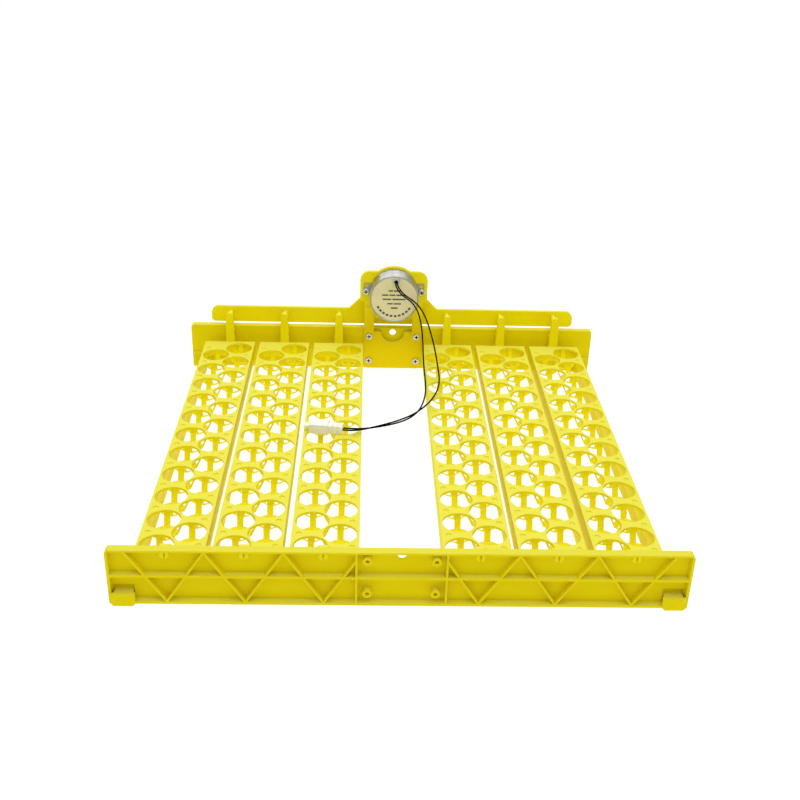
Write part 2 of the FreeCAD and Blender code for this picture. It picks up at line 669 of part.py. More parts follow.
def motor_bracket(doc):
    """The upright plate that carries the motor, screwed to the rear plate's inner face."""
    body = new_body(doc, "motor_bracket")
    front = "span - base_gap"
    back = "span"
    slab(body, "lower_pad", front, back,
         lambda sketch: rectangle(sketch, "-bracket_half", "bracket_half", "bracket_foot",
                                  "motor_height"))
    round_edges(body, "lower_corners", "bracket_round",
                lambda edge: along_y(edge, SIZES["bracket_half"][0], SIZES["bracket_foot"][0]))
    slab(body, "ears_pad", front, back,
         lambda sketch: rectangle(sketch, "-ear_half", "ear_half", "ear_foot", "ear_top"))
    round_edges(body, "ear_corners", "ear_round",
                lambda edge: along_y(edge, SIZES["ear_half"][0], SIZES["ear_top"][0]))
    slab(body, "halo_pad", front, back, lambda sketch: disc(sketch, "0", "motor_height", "halo"))

    def legs(sketch):
        for side in (-1, 1):
            rectangle(sketch, f"{side} * window_half", f"{side} * (bracket_half - 0.5)",
                      "leg_foot", "leg_top")
    slab(body, "legs_pad", f"{front} - leg_rise", f"{front} + 0.5", legs)
    cut(body, "window_cut", f"{front} - 1", f"{back} + 1",
        lambda sketch: rectangle(sketch, "-window_half", "window_half", "window_foot", "window_top"))
    cut(body, "dip_cut", f"{front} - 1", f"{back} + 1",
        lambda sketch: disc(sketch, "0", "window_foot", "dip"))
    cut(body, "shaft_cut", f"{front} - 1", f"{back} + 1",
        lambda sketch: disc(sketch, "0", "motor_height", "shaft * 2"))

    def screw_holes(sketch):
        for side in (-1, 1):
            disc(sketch, f"{side} * boss_side", "boss_low", "screw_hole")
            disc(sketch, f"{side} * boss_side", "boss_high", "screw_hole")
            disc(sketch, f"{side} * tab_hole", "motor_height", "thread + play")
    cut(body, "screw_holes", f"{front} - leg_rise - 1", f"{back} + 1", screw_holes)
    place(body)
    return body


# ---------------------------------------------------------------- turned pieces from primitives

def drum(doc, name, radius, start, end, across="0", height="motor_height"):
    """A cylinder along Y between two formulas."""
    cylinder = doc.addObject("Part::Cylinder", name)
    cylinder.Placement = FreeCAD.Placement(FreeCAD.Vector(), OUTWARD)
    bind(cylinder, Radius=radius, Height=f"({end}) - ({start})", **shift(across, start, height))
    return cylinder


def block(doc, name, left, right, start, end, foot, top):
    """A box between six formulas."""
    box = doc.addObject("Part::Box", name)
    bind(box, Length=f"({right}) - ({left})", Width=f"({end}) - ({start})",
         Height=f"({top}) - ({foot})", **shift(left, start, foot))
    return box


def join(doc, label, pieces):
    """Several primitives as one object."""
    fuse = doc.addObject("Part::MultiFuse", label)
    fuse.Label = label
    fuse.Shapes = pieces
    fuse.Refine = True
    return fuse


def take_away(doc, label, base, tools):
    """A primitive or a union less some others."""
    less = doc.addObject("Part::Cut", label)
    less.Label = label
    less.Base = base
    less.Tool = tools[0] if len(tools) == 1 else join(doc, f"{label}_tools", tools)
    return less


CAN_FRONT = "span - can_front"
BASE_FRONT = "span - base_gap - base"


def grommet_opening(doc, name, gap):
    """The rectangular hole for the grommet, wider than it by a gap on every side."""
    return block(doc, name, f"wire_side - grommet_half - {gap}", f"wire_side + grommet_half + {gap}",
                 f"{CAN_FRONT} - 1", f"{CAN_FRONT} + can_wall * 3",
                 f"outlet - grommet_tall - {gap}", f"outlet + grommet_tall + {gap}")


def motor_can(doc):
    """A drawn steel cup with a raised rim round its face."""
    shell = drum(doc, "can_outside", "can", CAN_FRONT, BASE_FRONT)
    face = drum(doc, "can_face", "can - can_wall * 2", f"{CAN_FRONT} - 1", f"{CAN_FRONT} + can_wall")
    inside = drum(doc, "can_inside", "can - can_wall", f"{CAN_FRONT} + can_wall * 2",
                  f"{BASE_FRONT} + 1")
    return take_away(doc, "motor_can", shell,
                     [face, inside, grommet_opening(doc, "can_opening", "fit")])


def motor_label(doc):
    """The round label stuck to the can's face."""
    sheet = drum(doc, "label_round", "can - can_wall * 2 - fit", f"{CAN_FRONT} + can_wall - fit",
                 f"{CAN_FRONT} + can_wall")
    return take_away(doc, "motor_label", sheet,
                     [grommet_opening(doc, "label_opening", "fit * 2")])


def motor_base(doc):
    """The motor's steel base with a tab at each side, each with two holes."""
    plate = drum(doc, "base_round", "can", BASE_FRONT, "span - base_gap")
    tabs = block(doc, "base_tabs", "-tab_reach", "tab_reach", BASE_FRONT, "span - base_gap",
                 "motor_height - head + fit", "motor_height + tab_rise + head - fit")
    tools = [drum(doc, "base_hole", "shaft * 1.5", f"{BASE_FRONT} - 1", "span")]
    for side in (-1, 1):
        name = "left" if side < 0 else "right"
        for level, radius, rise in (("low", "screw_hole", "0"), ("high", "tab_spare", "tab_rise")):
            tools.append(drum(doc, f"tab_{name}_{level}", radius, f"{BASE_FRONT} - 1", "span",
                              f"{side} * tab_hole", f"motor_height + {rise}"))
    return take_away(doc, "motor_base", join(doc, "base_outside", [plate, tabs]), tools)


def coil_pieces(doc):
    """A bobbin with two flanges, its winding, and the magnet rotor that turns inside it."""
    start = f"{CAN_FRONT} + can_wall * 2 + 1.5"
    end = f"{start} + 9"
    flanges = drum(doc, "bobbin_outside", "can - can_wall - 2", start, end)
    groove = take_away(doc, "bobbin_groove",
                       drum(doc, "groove_outside", "can", f"{start} + 1", f"{end} - 1"),
                       [drum(doc, "groove_inside", "shaft * 3 + 1", start, end)])
    bobbin = take_away(doc, "coil_bobbin", flanges,
                       [groove, drum(doc, "bobbin_bore", "shaft * 3", f"{start} - 1", f"{end} + 1")])
    winding = take_away(doc, "coil_winding",
                        drum(doc, "winding_outside", "can - can_wall - 3.5", f"{start} + 1 + play",
                             f"{end} - 1 - play"),
                        [drum(doc, "winding_inside", "shaft * 3 + 1 + play", start, end)])
    magnet = drum(doc, "magnet", "shaft * 3 - 0.6", f"{start} + 0.5", f"{end} - 0.5")
    pinion = drum(doc, "rotor_pinion", "axle * 2", f"{end} - 1", f"{end} + 1.2")
    rotor = take_away(doc, "motor_rotor", join(doc, "rotor_outside", [magnet, pinion]),
                      [drum(doc, "rotor_bore", "axle + play", start, f"{end} + 2")])
    rotor_axle = drum(doc, "rotor_axle", "axle", f"{CAN_FRONT} + can_wall * 2", f"{end} + 2")
    return [bobbin, winding, rotor, rotor_axle]


GEAR_FRONT = f"{BASE_FRONT} - 5.6"


def gear_pieces(doc, rotor_axle):
    """An idler beside the axis, the output shaft with its wheel, and the two fixed axles."""
    idler_across = "-idler_side"
    idler = take_away(
        doc, "idler_gear",
        join(doc, "idler_outside",
             [drum(doc, "idler_rim", "idler_wheel", GEAR_FRONT, f"{GEAR_FRONT} + 1.4", idler_across),
              drum(doc, "idler_core", "idler_pinion", f"{GEAR_FRONT} + 1", f"{GEAR_FRONT} + 4.8",
                   idler_across)]),
        [drum(doc, "idler_bore", "axle + play", f"{GEAR_FRONT} - 1", f"{GEAR_FRONT} + 6", idler_across)])
    shaft = join(doc, "shaft_outside",
                 [drum(doc, "output_rim", "output_wheel", f"{GEAR_FRONT} + 2.2", f"{GEAR_FRONT} + 4.6"),
                  drum(doc, "output_bar", "shaft", f"{GEAR_FRONT} + 2.2",
                       "span + crank_gap + crank - play")])
    output = take_away(doc, "output_shaft", shaft,
                       [drum(doc, "shaft_thread", "thread", "span + crank_gap + crank - 9", "span + 20")])
    idler_axle = drum(doc, "idler_axle", "axle", f"{GEAR_FRONT} - 0.4", BASE_FRONT, idler_across)
    return [idler, output, gather(doc, "motor_axles", [rotor_axle, idler_axle])]


def crank_arm(doc):
    """The crank on the output shaft, and its screw; its pin slides in the push bar's slot."""
    start = "span + crank_gap"
    end = f"{start} + crank"
    pin = "motor_height + crank_throw"
    arm = join(doc, "crank_outside",
               [drum(doc, "crank_hub_round", "crank_hub", start, end),
                drum(doc, "crank_end", "crank_pin + 1.6", start, end, "0", pin),
                block(doc, "crank_web", "-crank_pin - 1.6", "crank_pin + 1.6", start, end,
                      "motor_height", pin),
                drum(doc, "crank_pin_round", "crank_pin", start,
                     "span + bar_gap + bar_depth + 1", "0", pin)])
    crank = take_away(doc, "crank_arm", arm,
                      [drum(doc, "crank_bore", "shaft + play", f"{start} - 1", f"{end} + 0.5")])
    screw = join(doc, "crank_screw",
                 [drum(doc, "crank_screw_head", "head + 1", end, f"{end} + head_height"),
                  drum(doc, "crank_screw_shank", "thread - play", f"{end} - 8", f"{end} + 0.5")])
    return [crank, screw]


def pan_screw(doc, name, across, height, seat, tip):
    """One pan-head screw with a cross recess, its head in front of the seat."""
    body = join(doc, f"{name}_outside",
                [drum(doc, f"{name}_head", "head", f"{seat} - head_height", seat, across, height),
                 drum(doc, f"{name}_shank", "thread", f"{seat} - 0.2", tip, across, height)])
    dome = body.Document.addObject("Part::Fillet", f"{name}_dome")
    dome.Base = body
    body.Document.recompute()
    front = min(edge.BoundBox.YMin for edge in body.Shape.Edges)
    rim = [number for number, edge in enumerate(body.Shape.Edges, start=1)
           if edge.BoundBox.YMax < front + 1e-3]
    radius = SIZES["head_round"][0]
    dome.Edges = [(number, radius, radius) for number in rim]
    recess = [block(doc, f"{name}_slot_{turn}", f"{across} - {wide}", f"{across} + {wide}",
                    f"{seat} - head_height - 1", f"{seat} - head_height + cross_deep",
                    f"{height} - {tall}", f"{height} + {tall}")
              for turn, (wide, tall) in enumerate((("cross_wide", "cross_long"), ("cross_long", "cross_wide")))]
    return take_away(doc, name, dome, recess)


def screws(doc):
    """Four screws through the bracket and two through the motor's tabs."""
    seats = {"low": "span - base_gap", "high": "span - base_gap - leg_rise"}
    holding = []
    for side in (-1, 1):
        name = "left" if side < 0 else "right"
        for level, seat in seats.items():
            holding.append(pan_screw(doc, f"bracket_screw_{name}_{level}", f"{side} * boss_side",
                                     f"boss_{level}", seat, "span + screw_grip - base_gap"))
    tabs = [pan_screw(doc, "motor_screw_left", "-tab_hole", "motor_height", BASE_FRONT, "span"),
            pan_screw(doc, "motor_screw_right", "tab_hole", "motor_height", BASE_FRONT, "span")]
    return [gather(doc, "bracket_screws", holding), gather(doc, "motor_screws", tabs)]


# ---------------------------------------------------------------- wires and connector

def wire_outlet(doc):
    """The grommet in the can's face and the sleeve that the two wires leave."""
    grommet_front = f"{CAN_FRONT} - grommet_reach"
    stem = block(doc, "grommet_stem", "wire_side - grommet_half", "wire_side + grommet_half",
                 grommet_front, f"{CAN_FRONT} + can_wall * 2 + 1",
                 "outlet - grommet_tall", "outlet + grommet_tall")
    flange = block(doc, "grommet_flange", "wire_side - grommet_half - 1",
                   "wire_side + grommet_half + 1", f"{CAN_FRONT} + can_wall * 2 + play",
                   f"{CAN_FRONT} + can_wall * 2 + 1", "outlet - grommet_tall - 1",
                   "outlet + grommet_tall + 0.6")
    grommet = join(doc, "wire_grommet", [stem, flange])
    sleeve = gather(doc, "wire_sleeve", [drum(doc, "sleeve_round", "sleeve",
                                              f"{grommet_front} - sleeve_reach", grommet_front,
                                              "wire_side", "outlet")])
    return [grommet, sleeve]


def rounded_path(points):
    """Straight runs joined by tangent arcs, each as large as its two runs allow."""
    spots = [FreeCAD.Vector(*point) for point in points]
    edges = []
    radii = []
    last = spots[0]
    for before, here, after in zip(spots, spots[1:], spots[2:]):
        inward = (before - here).normalize()
        outward = (after - here).normalize()
        half_turn = (math.pi - inward.getAngle(outward)) / 2
        reach = 0.45 * min((before - here).Length, (after - here).Length)
        radii.append(reach / math.tan(half_turn))
        start = here + inward * reach
        end = here + outward * reach
        bisector = (inward + outward).normalize()
        middle = here + bisector * (radii[-1] / math.cos(half_turn) - radii[-1])
        edges.append(Part.LineSegment(last, start).toShape())
        edges.append(Part.Arc(start, middle, end).toShape())
        last = end
    edges.append(Part.LineSegment(last, spots[-1]).toShape())
    return Part.Wire(edges), radii


def wire(doc, sheet, label, points):
    """One insulated wire as a plain tube along its route."""
    radius = sheet.get("wire")
    path, radii = rounded_path(points)
    start = FreeCAD.Vector(*points[0])
    heading = FreeCAD.Vector(*points[1]) - start
    section = Part.Wire(Part.makeCircle(radius, start, heading))
    tube = path.makePipeShell([section], True, True)
    expected = math.pi * radius ** 2 * path.Length
    print(f"{label}: length {path.Length:.1f} mm, radii "
          + " ".join(f"{bend:.1f}" for bend in radii))
    print(f"{label}: volume {tube.Volume:.1f}, section times length {expected:.1f}")
    if min(radii) < 2 * LIMP * radius or abs(tube.Volume - expected) > expected / 100:
        raise RuntimeError(f"{label}: the tube is bent too sharply or its volume is wrong")
    node = doc.addObject("Part::Feature", label)
    node.Label = label
    node.Shape = tube
    node.Placement = FreeCAD.Placement()
    return node


def lay_on_row(node):
    """Turn a connector piece on its row and move it to the model's origin."""
    node.Placement = FreeCAD.Placement(FreeCAD.Vector(), FreeCAD.Rotation(FreeCAD.Vector(0, 0, 1), 1))
    bind(node, Placement__Rotation__Angle="plug_turn")
    place(node, x="plug_across", y=f"plug_along - ({MIDDLE})")
    bind(node, Placement__Base__z="row_top")


def connector(doc):
    """A two-way crimp housing with a latch, lying on the third row, and its two contacts."""
    wide = block(doc, "plug_wide_end", "-plug_left", "plug_step", "-plug_wide", "plug_wide",
                 "0", "plug_tall")
    slim = block(doc, "plug_slim_end", "plug_step - 1", "plug_right", "-plug_half", "plug_half",
                 "0", "plug_slim")
    latch = block(doc, "plug_latch", "-latch_end", "-plug_step / 2", "plug_wall - plug_half",
                  "plug_half - plug_wall", "latch_foot", "latch_foot + plug_wall")
    mouth = block(doc, "plug_mouth", "-plug_left - 1", "-plug_step", "plug_wall - plug_wide",
                  "plug_wide - plug_wall", "plug_wall * 2", "plug_tall - plug_wall")
    tools = [mouth]
    for side, name in ((-1, "front"), (1, "back")):
        tools.append(block(doc, f"contact_bore_{name}", "-plug_step - 1", "plug_right - 1",
                           f"{side} * contact_side - contact - play",
                           f"{side} * contact_side + contact + play",
                           "plug_slim / 2 - contact - play", "plug_slim / 2 + contact + play"))
    shell = take_away(doc, "plug_shell", join(doc, "plug_outside", [wide, slim]), tools)
    housing = join(doc, "connector_housing", [shell, latch])
    pins = [block(doc, f"contact_{name}", "2 - plug_left", "plug_right - 1",
                  f"{side} * contact_side - contact", f"{side} * contact_side + contact",
                  "plug_slim / 2 - contact", "plug_slim / 2 + contact")
            for side, name in ((-1, "front"), (1, "back"))]
    contacts = gather(doc, "connector_contacts", pins)
    for node in (housing, contacts):
        lay_on_row(node)
    return [housing, contacts]


# ---------------------------------------------------------------- the whole tray

def build():
    """Make the document, check it and write each sub-part's file."""
    doc = FreeCAD.newDocument("egg_turning_tray")
    sheet = make_sheet(doc)
    nodes = end_plates(doc)
    nodes += [side_rail(doc, "side_rail_left", -1), side_rail(doc, "side_rail_right", 1)]
    nodes += egg_rows(doc)
    nodes += [push_bar(doc), motor_bracket(doc)]
    upright = [motor_can(doc), motor_label(doc), motor_base(doc)]
    *coil, rotor_axle = coil_pieces(doc)
    upright += coil + gear_pieces(doc, rotor_axle) + crank_arm(doc) + screws(doc) + wire_outlet(doc)
    for node in upright:
        place(node)
    nodes += upright
    nodes += [wire(doc, sheet, label, points) for label, points in WIRE_ROUTES.items()]
    nodes += connector(doc)
    doc.recompute()
    return doc, nodes


def check(doc, nodes):
    """Stop on any failed object and on any sub-part without a valid shape."""
    failed = [thing.Label for thing in doc.Objects
              if "Invalid" in thing.State or "Error" in thing.State]
    failed += [node.Label for node in nodes if node.Shape.isNull() or not node.Shape.isValid()]
    if failed:
        raise RuntimeError(f"these failed: {', '.join(failed)}")


def export(nodes):
    """Write one STEP file for each sub-part, named by its label."""
    os.makedirs("parts", exist_ok=True)
    for node in nodes:
        node.Shape.exportStep(f"parts/{node.Label}.step")
        box = node.Shape.BoundBox
        print(f"{node.Label}: {len(node.Shape.Solids)} solid, X {box.XMin:.2f} to {box.XMax:.2f}, "
              f"Y {box.YMin:.2f} to {box.YMax:.2f}, Z {box.ZMin:.2f} to {box.ZMax:.2f}")


document, sub_parts = build()
check(document, sub_parts)
export(sub_parts)
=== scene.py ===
"""The looks of the egg-turning tray: materials, detailed pieces, wires, light and camera.

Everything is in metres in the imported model's frame: +Z up, +Y along the rows to the motor.
"""
import math
import bmesh
import bpy
from mathutils import Matrix, Vector


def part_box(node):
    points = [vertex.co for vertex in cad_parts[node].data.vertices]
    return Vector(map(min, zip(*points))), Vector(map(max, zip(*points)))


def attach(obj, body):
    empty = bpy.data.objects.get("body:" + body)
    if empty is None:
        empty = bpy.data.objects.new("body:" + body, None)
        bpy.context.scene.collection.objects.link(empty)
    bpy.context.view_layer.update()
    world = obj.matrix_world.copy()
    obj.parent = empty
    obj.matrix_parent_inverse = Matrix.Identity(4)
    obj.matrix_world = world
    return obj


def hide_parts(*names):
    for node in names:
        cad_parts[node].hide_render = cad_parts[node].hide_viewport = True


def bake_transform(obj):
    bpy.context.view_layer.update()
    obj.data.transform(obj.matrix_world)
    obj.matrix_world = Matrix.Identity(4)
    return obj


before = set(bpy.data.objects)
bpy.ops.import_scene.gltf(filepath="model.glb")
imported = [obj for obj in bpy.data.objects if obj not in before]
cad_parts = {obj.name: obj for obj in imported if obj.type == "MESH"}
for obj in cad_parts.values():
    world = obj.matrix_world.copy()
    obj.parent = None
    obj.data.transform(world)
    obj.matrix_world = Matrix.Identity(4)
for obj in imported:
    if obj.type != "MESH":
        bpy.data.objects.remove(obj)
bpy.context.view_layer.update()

MM = 0.001
ROWS = ("egg_row_1", "egg_row_2", "egg_row_3", "egg_row_4", "egg_row_5", "egg_row_6")


# ---------------------------------------------------------------- camera and light

LENS = 47.56
SENSOR = 36.0
CAMERA_AT = Vector((-0.02925, -0.83514, 0.48975))
CAMERA_YAW = math.radians(2.182)
CAMERA_PITCH = math.radians(-27.059)
CAMERA_ROLL = math.radians(1.848)


def add_camera():
    """The camera, from its place and its yaw, pitch and roll."""
    forward = Vector((math.sin(CAMERA_YAW) * math.cos(CAMERA_PITCH),
                      math.cos(CAMERA_YAW) * math.cos(CAMERA_PITCH), math.sin(CAMERA_PITCH)))
    level = Vector((math.cos(CAMERA_YAW), -math.sin(CAMERA_YAW), 0))
    upright = level.cross(forward)
    right = level * math.cos(CAMERA_ROLL) + upright * math.sin(CAMERA_ROLL)
    up = upright * math.cos(CAMERA_ROLL) - level * math.sin(CAMERA_ROLL)
    data = bpy.data.cameras.new("camera")
    data.lens = LENS
    data.sensor_width = SENSOR
    data.clip_start = 0.01
    camera = bpy.data.objects.new("camera", data)
    bpy.context.collection.objects.link(camera)
    turn = Matrix((right, up, -forward)).transposed()
    camera.matrix_world = Matrix.Translation(CAMERA_AT) @ turn.to_4x4()
    bpy.context.scene.camera = camera


def add_softbox(name, place, aim, size, power):
    """A square area light that points at a place."""
    data = bpy.data.lights.new(name, "AREA")
    data.shape = "SQUARE"
    data.size = size
    data.energy = power
    lamp = bpy.data.objects.new(name, data)
    bpy.context.collection.objects.link(lamp)
    heading = (Vector(aim) - Vector(place)).to_track_quat("-Z", "Y")
    lamp.matrix_world = Matrix.Translation(place) @ heading.to_matrix().to_4x4()


SURROUND = 0.46
# each softbox: where it is, where it points, its side and its power
SOFTBOXES = (("top_softbox", (0, -0.12, 1.2), (0, 0.2, 0.06), 1.6, 11),
             ("front_softbox", (0.3, -1.4, 0.7), (0, 0, 0.03), 0.9, 0.4),
             ("back_softbox", (-0.1, 1.6, 0.9), (0, 0.1, 0.03), 1.4, 8))


def add_light():
    """A white surround, and softboxes above the rows, in front of the tray and behind it."""
    world = bpy.data.worlds.new("surround")
    world.use_nodes = True
    world.node_tree.nodes["Background"].inputs["Color"].default_value = (1, 1, 1, 1)
    world.node_tree.nodes["Background"].inputs["Strength"].default_value = SURROUND
    bpy.context.scene.world = world
    for name, place, aim, size, power in SOFTBOXES:
        add_softbox(name, place, aim, size, power)
    bpy.context.scene.view_settings.view_transform = "Standard"


# ---------------------------------------------------------------- materials

class Surface:
    """A node material built round one Principled shader."""

    def __init__(self, name):
        self.material = bpy.data.materials.new(name)
        self.material.use_nodes = True
        self.tree = self.material.node_tree
        self.shader = self.tree.nodes["Principled BSDF"]
        coordinates = self.tree.nodes.new("ShaderNodeTexCoord")
        self.place = coordinates.outputs["Object"]
        self.normal = coordinates.outputs["Normal"]

    def node(self, kind, **values):
        """A new node with its properties set."""
        made = self.tree.nodes.new(kind)
        for key, value in values.items():
            setattr(made, key, value)
        return made

    def link(self, source, target):
        """A link between two sockets."""
        self.tree.links.new(source, target)

    def set(self, **values):
        """Constants set on the shader's own sockets."""
        for key, value in values.items():
            self.shader.inputs[key.replace("_", " ")].default_value = value

    def noise(self, scale, detail=3, stretch=None):
        """Noise from the piece's own coordinates, from 0 to 1."""
        texture = self.node("ShaderNodeTexNoise")
        texture.inputs["Scale"].default_value = scale
        texture.inputs["Detail"].default_value = detail
        source = self.place
        if stretch:
            mapping = self.node("ShaderNodeMapping")
            mapping.inputs["Scale"].default_value = stretch
            self.link(source, mapping.inputs["Vector"])
            source = mapping.outputs["Vector"]
        self.link(source, texture.inputs["Vector"])
        return texture.outputs["Fac"]

    def spread(self, value, low, high, to_low=0.0, to_high=1.0):
        """A value spread from one range to another, without running past its ends."""
        spread = self.node("ShaderNodeMapRange")
        spread.inputs["From Min"].default_value = low
        spread.inputs["From Max"].default_value = high
        spread.inputs["To Min"].default_value = to_low
        spread.inputs["To Max"].default_value = to_high
        self.link(value, spread.inputs["Value"])
        return spread.outputs["Result"]

    def mix(self, factor, first, second):
        """Two colours, each a socket or a plain colour, mixed by a factor."""
        mixer = self.node("ShaderNodeMix", data_type="RGBA")
        self.link(factor, mixer.inputs["Factor"])
        for socket, colour in ((mixer.inputs[6], first), (mixer.inputs[7], second)):
            if isinstance(colour, tuple):
                socket.default_value = (*colour, 1)
            else:
                self.link(colour, socket)
        return mixer.outputs[2]

    def edge(self, radius):
        """How far the rounded normal turns away from the true one: 0 on flats, 1 on edges."""
        bevel = self.node("ShaderNodeBevel", samples=6)
        bevel.inputs["Radius"].default_value = radius
        geometry = self.node("ShaderNodeNewGeometry")
        product = self.node("ShaderNodeVectorMath", operation="DOT_PRODUCT")
        self.link(bevel.outputs["Normal"], product.inputs[0])
        self.link(geometry.outputs["Normal"], product.inputs[1])
        return self.spread(product.outputs["Value"], 0.99, 0.75)

    def relief(self, height, strength, distance, radius=None):
        """Bump from a height, over edges softened by a radius."""
        bump = self.node("ShaderNodeBump")
        bump.inputs["Strength"].default_value = strength
        bump.inputs["Distance"].default_value = distance
        self.link(height, bump.inputs["Height"])
        if radius:
            bevel = self.node("ShaderNodeBevel", samples=6)
            bevel.inputs["Radius"].default_value = radius
            self.link(bevel.outputs["Normal"], bump.inputs["Normal"])
        self.link(bump.outputs["Normal"], self.shader.inputs["Normal"])


# The heights where the painted light on a part's higher reaches begins and is full.
LIT_TOP_STARTS = 50 * MM
LIT_TOP_FULL = 75 * MM


def moulded_plastic(name, colour, deep, edge_highlight, top_sheen, roughness=0.42, lit_top_colour=None):
    """Moulded plastic: faint flow clouds, fine grain, a painted pale sheen on up-facing tops and
    painted highlights along the edges.

    Where a lit_top_colour is given, the plastic turns to it between two heights: painted light on
    the higher part.
    """
    surface = Surface(name)
    clouds = surface.spread(surface.noise(28, 4), 0.32, 0.68)
    body = surface.mix(clouds, colour, deep)
    # Above a height the colour turns paler: painted light on the higher part.
    if lit_top_colour:
        height = surface.node("ShaderNodeSeparateXYZ")
        surface.link(surface.place, height.inputs["Vector"])
        lit_top_mask = surface.spread(height.outputs["Z"], LIT_TOP_STARTS, LIT_TOP_FULL)
        body = surface.mix(lit_top_mask, body, lit_top_colour)
    # Up-facing surfaces turn to a paler colour: a painted sheen of the top light.
    upright = surface.node("ShaderNodeSeparateXYZ")
    surface.link(surface.normal, upright.inputs["Vector"])
    body = surface.mix(surface.spread(upright.outputs["Z"], 0.75, 0.97), body, top_sheen)
    # Edges turn to a paler colour: a painted highlight along the edges.
    highlit_edges = surface.edge(0.5 * MM)
    surface.link(surface.mix(highlit_edges, body, edge_highlight), surface.shader.inputs["Base Color"])
    patches = surface.noise(90, 3)
    surface.link(surface.spread(patches, 0.3, 0.7, roughness - 0.06, roughness + 0.08),
                 surface.shader.inputs["Roughness"])
    surface.relief(surface.noise(900, 2), 0.12, 0.03 * MM, 0.45 * MM)
    surface.set(IOR=1.49, Specular_IOR_Level=0.02, Subsurface_Weight=0.1, Subsurface_Scale=0.004)
    surface.shader.inputs["Subsurface Radius"].default_value = (1.0, 0.9, 0.05)
    return surface.material


def drawn_steel(name, colour, roughness, stretch, scale=240):
    """Plated sheet steel with drawing lines, faint clouds and a painted highlight along the edges.
    """
    surface = Surface(name)
    lines = surface.noise(scale, 4, stretch)
    dull = tuple(part * 0.8 for part in colour)
    tone = surface.mix(surface.spread(lines, 0.35, 0.65), dull, colour)
    # A brighter colour for the edges: a painted highlight.
    bright = tuple(min(1.0, part * 1.12) for part in colour)
    surface.link(surface.mix(surface.edge(0.3 * MM), tone, bright),
                 surface.shader.inputs["Base Color"])
    surface.link(surface.spread(surface.noise(60, 4), 0.3, 0.7, roughness - 0.06, roughness + 0.1),
                 surface.shader.inputs["Roughness"])
    surface.relief(lines, 0.15, 0.02 * MM, 0.2 * MM)
    surface.set(Metallic=1.0)
    return surface.material


def printed_label(name):
    """Cream varnished paper with faint fibres and slightly toned patches."""
    surface = Surface(name)
    fibres = surface.noise(700, 4)
    paper = surface.mix(surface.spread(fibres, 0.35, 0.65), (0.74, 0.69, 0.41), (0.80, 0.75, 0.46))
    stain = surface.spread(surface.noise(45, 3), 0.45, 0.75, 0, 0.5)
    surface.link(surface.mix(stain, paper, (0.62, 0.57, 0.30)), surface.shader.inputs["Base Color"])
    surface.link(surface.spread(fibres, 0.3, 0.7, 0.38, 0.52), surface.shader.inputs["Roughness"])
    surface.relief(fibres, 0.1, 0.02 * MM)
    surface.set(Coat_Weight=0.25, Coat_Roughness=0.25)
    return surface.material


def ink(name):
    """Dark printing ink, thin in places."""
    surface = Surface(name)
    thin = surface.spread(surface.noise(1500, 3), 0.4, 0.7)
    surface.link(surface.mix(thin, (0.05, 0.045, 0.03), (0.12, 0.105, 0.06)),
                 surface.shader.inputs["Base Color"])
    surface.relief(thin, 0.1, 0.01 * MM)
    surface.set(Roughness=0.5)
    return surface.material


def wire_insulation(name, colour=(0.003, 0.003, 0.003)):
    """Soft black insulation with fine drawing marks and dusty, paler patches."""
    surface = Surface(name)
    dust = surface.spread(surface.noise(300, 4), 0.5, 0.8, 0, 0.5)
    dusty = (0.012, 0.011, 0.010)
    surface.link(surface.mix(dust, colour, dusty), surface.shader.inputs["Base Color"])
    surface.link(surface.spread(surface.noise(500, 2), 0.3, 0.7, 0.42, 0.56),
                 surface.shader.inputs["Roughness"])
    surface.relief(surface.noise(2500, 2), 0.15, 0.03 * MM)
    surface.set(Specular_IOR_Level=0.03)
    return surface.material


def milky_nylon(name, colour, cloud, see_through):
    """Unfilled nylon: milky, a little see-through, with soft edges."""
    surface = Surface(name)
    clouds = surface.spread(surface.noise(260, 3), 0.35, 0.7)
    surface.link(surface.mix(clouds, colour, cloud), surface.shader.inputs["Base Color"])
    surface.link(surface.spread(surface.noise(420, 2), 0.3, 0.7, 0.32, 0.46),
                 surface.shader.inputs["Roughness"])
    surface.relief(surface.noise(1400, 2), 0.1, 0.03 * MM, 0.25 * MM)
    surface.set(IOR=1.53, Transmission_Weight=see_through, Subsurface_Weight=0.3,
                Subsurface_Scale=0.002)
    return surface.material


def pale_floor():
    """A plain, nearly white light table with a very faint mottle."""
    surface = Surface("floor_white")
    mottle = surface.spread(surface.noise(9, 4), 0.3, 0.7)
    surface.link(surface.mix(mottle, (0.26, 0.26, 0.26), (0.28, 0.28, 0.28)),
                 surface.shader.inputs["Base Color"])
    surface.relief(mottle, 0.05, 0.2 * MM)
    surface.set(Roughness=0.8, Emission_Strength=0.86)
    surface.shader.inputs["Emission Color"].default_value = (1, 1, 1, 1)
    return surface.material


# Each plastic: its colour, a deeper cloud tone, a pale painted highlight for the edges and a pale
# painted sheen for up-facing tops.
YELLOW = moulded_plastic("yellow_row", (0.91, 0.80, 0.005), (0.88, 0.76, 0.004),
                         (0.90, 0.845, 0.085), (0.85, 0.79, 0.08))
# The end plates and side rails: the rows' yellow plastic made deeper, a copy with painted shade.
PLATE_YELLOW_SHADED = moulded_plastic("yellow_plate_painted_shade", (0.82, 0.69, 0.003), (0.78, 0.65, 0.002),
                       (0.88, 0.81, 0.06), (0.80, 0.73, 0.06))
